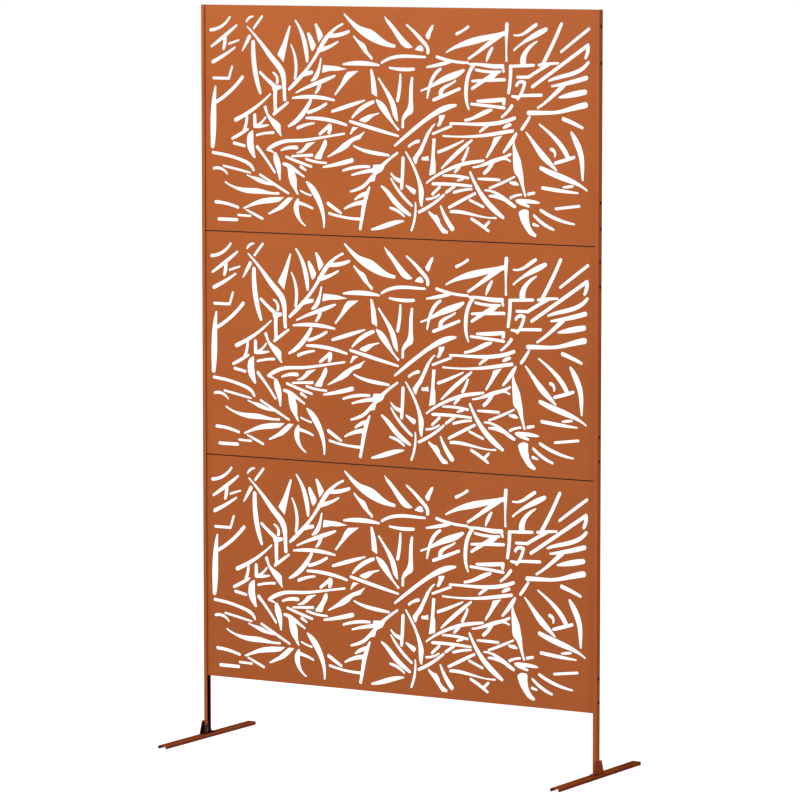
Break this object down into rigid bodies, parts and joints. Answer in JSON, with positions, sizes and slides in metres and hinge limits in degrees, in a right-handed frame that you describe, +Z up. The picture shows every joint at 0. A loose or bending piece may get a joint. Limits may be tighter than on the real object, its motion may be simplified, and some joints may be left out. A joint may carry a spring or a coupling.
{
  "type": "outdoor privacy screen",
  "caption": "Free-standing outdoor privacy screen: stacked sheet-steel panels with leaf-shaped cut-outs between slim channel posts on long flat feet, in rust-orange powder coat.",
  "frame": {"origin": "on the floor, below the middle of the screen and the middle of the posts' depth", "axes": "+Z up; X along the width of the screen; Y from the front (-Y, where the panels' faces are) to the back"},
  "size_m": [1.2152, 0.444, 1.968],
  "materials": {
    "panel_paint": "satin powder coat",
    "frame_paint": "satin powder coat",
    "screw_steel": "dark coated steel",
    "nut_steel": "zinc plated"
  },
  "bodies": {
    "root": {"panel_top": "panel_paint", "panel_middle": "panel_paint", "panel_bottom": "panel_paint", "post_left": "frame_paint", "foot_left": "frame_paint", "bracket_left": "frame_paint", "screws_top_left": "screw_steel", "nuts_top_left": "nut_steel", "screws_middle_left": "screw_steel", "nuts_middle_left": "nut_steel", "screws_bottom_left": "screw_steel", "nuts_bottom_left": "nut_steel", "bracket_bolts_left": "screw_steel", "bracket_nuts_left": "nut_steel", "foot_bolts_left": "screw_steel", "foot_nuts_left": "nut_steel", "post_right": "frame_paint", "foot_right": "frame_paint", "bracket_right": "frame_paint", "screws_top_right": "screw_steel", "nuts_top_right": "nut_steel", "screws_middle_right": "screw_steel", "nuts_middle_right": "nut_steel", "screws_bottom_right": "screw_steel", "nuts_bottom_right": "nut_steel", "bracket_bolts_right": "screw_steel", "bracket_nuts_right": "nut_steel", "foot_bolts_right": "screw_steel", "foot_nuts_right": "nut_steel"}
  },
  "joints": []
}
